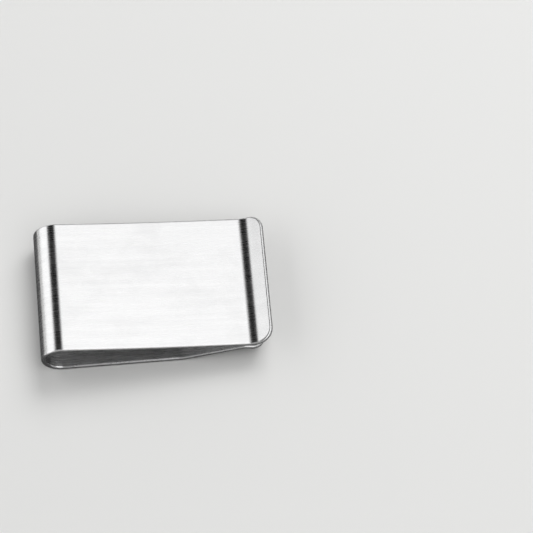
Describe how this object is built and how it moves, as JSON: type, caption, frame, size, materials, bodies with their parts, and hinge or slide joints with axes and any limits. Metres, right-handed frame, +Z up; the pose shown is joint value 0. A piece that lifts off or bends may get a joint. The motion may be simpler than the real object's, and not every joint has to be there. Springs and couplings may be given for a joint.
{
  "type": "money clip",
  "caption": "Folded spring-steel money clip with a rolled end, a long plain front plate, a flared lip and a ramped back leaf.",
  "frame": {"origin": "centre of the bounding box's bottom: half way along the length and the width, on the plane the back leaf rests on", "axes": "+X from the roll towards the mouth, +Y across the strip, +Z up from the back leaf to the front plate"},
  "size_m": [0.0404, 0.025, 0.0075],
  "materials": {
    "brushed_steel": "brushed along the length, softly rounded edges"
  },
  "bodies": {
    "back": {"lower_roll": "brushed_steel", "back_leaf": "brushed_steel", "grip_ramp": "brushed_steel", "back_toe": "brushed_steel"},
    "front": {"upper_roll": "brushed_steel", "front_plate": "brushed_steel", "flared_lip": "brushed_steel"}
  },
  "joints": [
    {"name": "jaw_opening", "type": "hinge", "parent": "back", "child": "front", "pos_m": [-0.01979, 0, 0.00375], "axis": [0, -1, 0], "range_deg": [0, 10], "stiffness_Nm_per_rad": 7}
  ]
}
